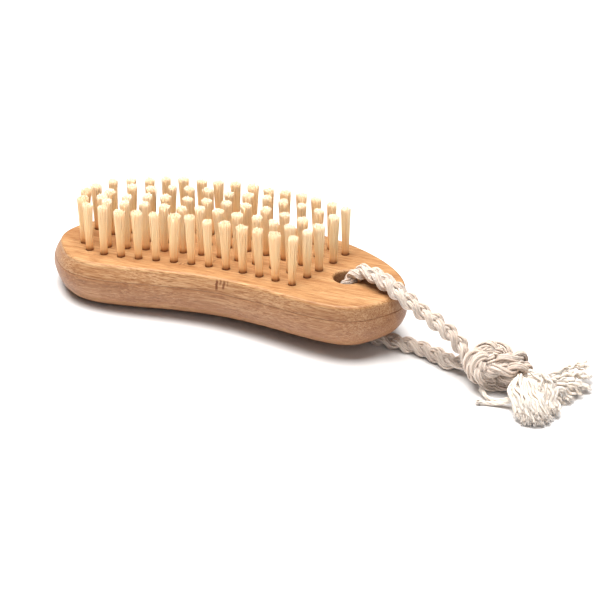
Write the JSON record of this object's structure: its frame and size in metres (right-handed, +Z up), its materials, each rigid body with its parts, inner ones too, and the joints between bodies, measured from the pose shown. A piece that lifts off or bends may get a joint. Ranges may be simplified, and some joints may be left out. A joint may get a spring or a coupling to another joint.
{
  "type": "scalp massager brush",
  "caption": "Bean-shaped bamboo scalp massager brush with rows of nylon tufts on its face and a knotted cotton rope loop for hanging.",
  "frame": {"origin": "on the surface the brush lies on, under the middle of the wooden body's box", "axes": "+X along the body to the rope end, +Y to the outer side of the bend, +Z up, out of the bristle side; the body is propped 2.4 degrees at its rope end by the rope under it"},
  "size_m": [0.2016, 0.0693, 0.0405],
  "materials": {
    "bamboo_face": "satin lacquered carbonised bamboo, fine straight grain",
    "bamboo_back": "satin lacquered bamboo, coarser strips",
    "bristle": "translucent cream nylon filament",
    "anchor_wire": "plain flat wire",
    "cotton_rope": "undyed plaited cotton"
  },
  "bodies": {
    "brush": {"upper_board": "bamboo_face", "lower_board": "bamboo_back", "tuft_row_front": "bristle", "tuft_row_2": "bristle", "tuft_row_3": "bristle", "tuft_row_4": "bristle", "tuft_row_back": "bristle", "staples_front": "anchor_wire", "staples_2": "anchor_wire", "staples_3": "anchor_wire", "staples_4": "anchor_wire", "staples_back": "anchor_wire"},
    "loop": {"rope_loop": "cotton_rope", "rope_knot": "cotton_rope", "rope_end_a": "cotton_rope", "rope_end_b": "cotton_rope", "loose_yarn": "cotton_rope"}
  },
  "joints": [
    {"name": "loop_swing", "type": "hinge", "parent": "brush", "child": "loop", "pos_m": [0.04505, -0.00418, 0.013], "axis": [0, 0, 1], "range_deg": [-25, 25]}
  ]
}
